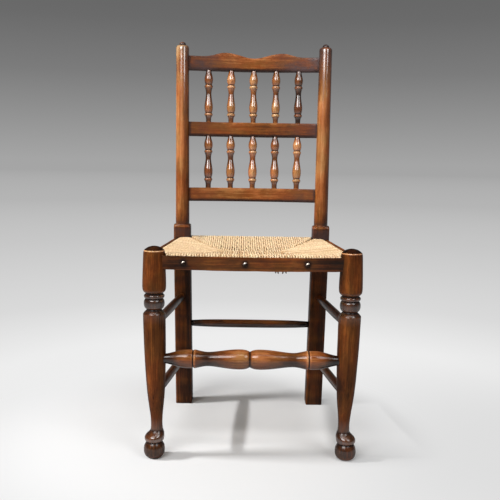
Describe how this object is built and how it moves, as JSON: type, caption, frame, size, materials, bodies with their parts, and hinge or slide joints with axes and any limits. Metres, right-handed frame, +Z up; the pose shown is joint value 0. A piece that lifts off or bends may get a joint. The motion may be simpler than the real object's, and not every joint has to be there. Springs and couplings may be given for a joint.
{
  "type": "spindle back chair",
  "caption": "Dining chair with a rush seat, turned front legs on pad feet, a bulbous front stretcher and a raked back with rows of turned spindles.",
  "frame": {"origin": "middle of the chair's bounding box, on the floor", "axes": "+Z up, the front of the chair towards -Y, +X to the right as seen from the front"},
  "size_m": [0.4796, 0.4886, 0.9765],
  "materials": {
    "polished_wood": "dark reddish-brown wood with a worn polish",
    "bare_wood": "unpolished wood inside the rush",
    "rush": "pale straw-coloured twisted rush",
    "nail_metal": "dulled domed nail heads"
  },
  "bodies": {
    "root": {"front_leg_left": "polished_wood", "front_leg_right": "polished_wood", "rear_post_left": "polished_wood", "rear_post_right": "polished_wood", "crest_rail": "polished_wood", "middle_rail": "polished_wood", "lower_rail": "polished_wood", "upper_spindle_1": "polished_wood", "upper_spindle_2": "polished_wood", "upper_spindle_3": "polished_wood", "upper_spindle_4": "polished_wood", "upper_spindle_5": "polished_wood", "lower_spindle_1": "polished_wood", "lower_spindle_2": "polished_wood", "lower_spindle_3": "polished_wood", "lower_spindle_4": "polished_wood", "lower_spindle_5": "polished_wood", "front_stretcher": "polished_wood", "rear_stretcher": "polished_wood", "upper_side_stretcher_left": "polished_wood", "upper_side_stretcher_right": "polished_wood", "lower_side_stretcher_left": "polished_wood", "lower_side_stretcher_right": "polished_wood", "seat_rail_front": "bare_wood", "seat_rail_rear": "bare_wood", "seat_rail_left": "bare_wood", "seat_rail_right": "bare_wood", "rush_seat": "rush", "edge_strip_front": "polished_wood", "edge_strip_left": "polished_wood", "edge_strip_right": "polished_wood", "nail_front_1": "nail_metal", "nail_front_2": "nail_metal", "nail_front_3": "nail_metal", "nail_left_1": "nail_metal", "nail_left_2": "nail_metal", "nail_left_3": "nail_metal", "nail_right_1": "nail_metal", "nail_right_2": "nail_metal", "nail_right_3": "nail_metal"}
  },
  "joints": []
}
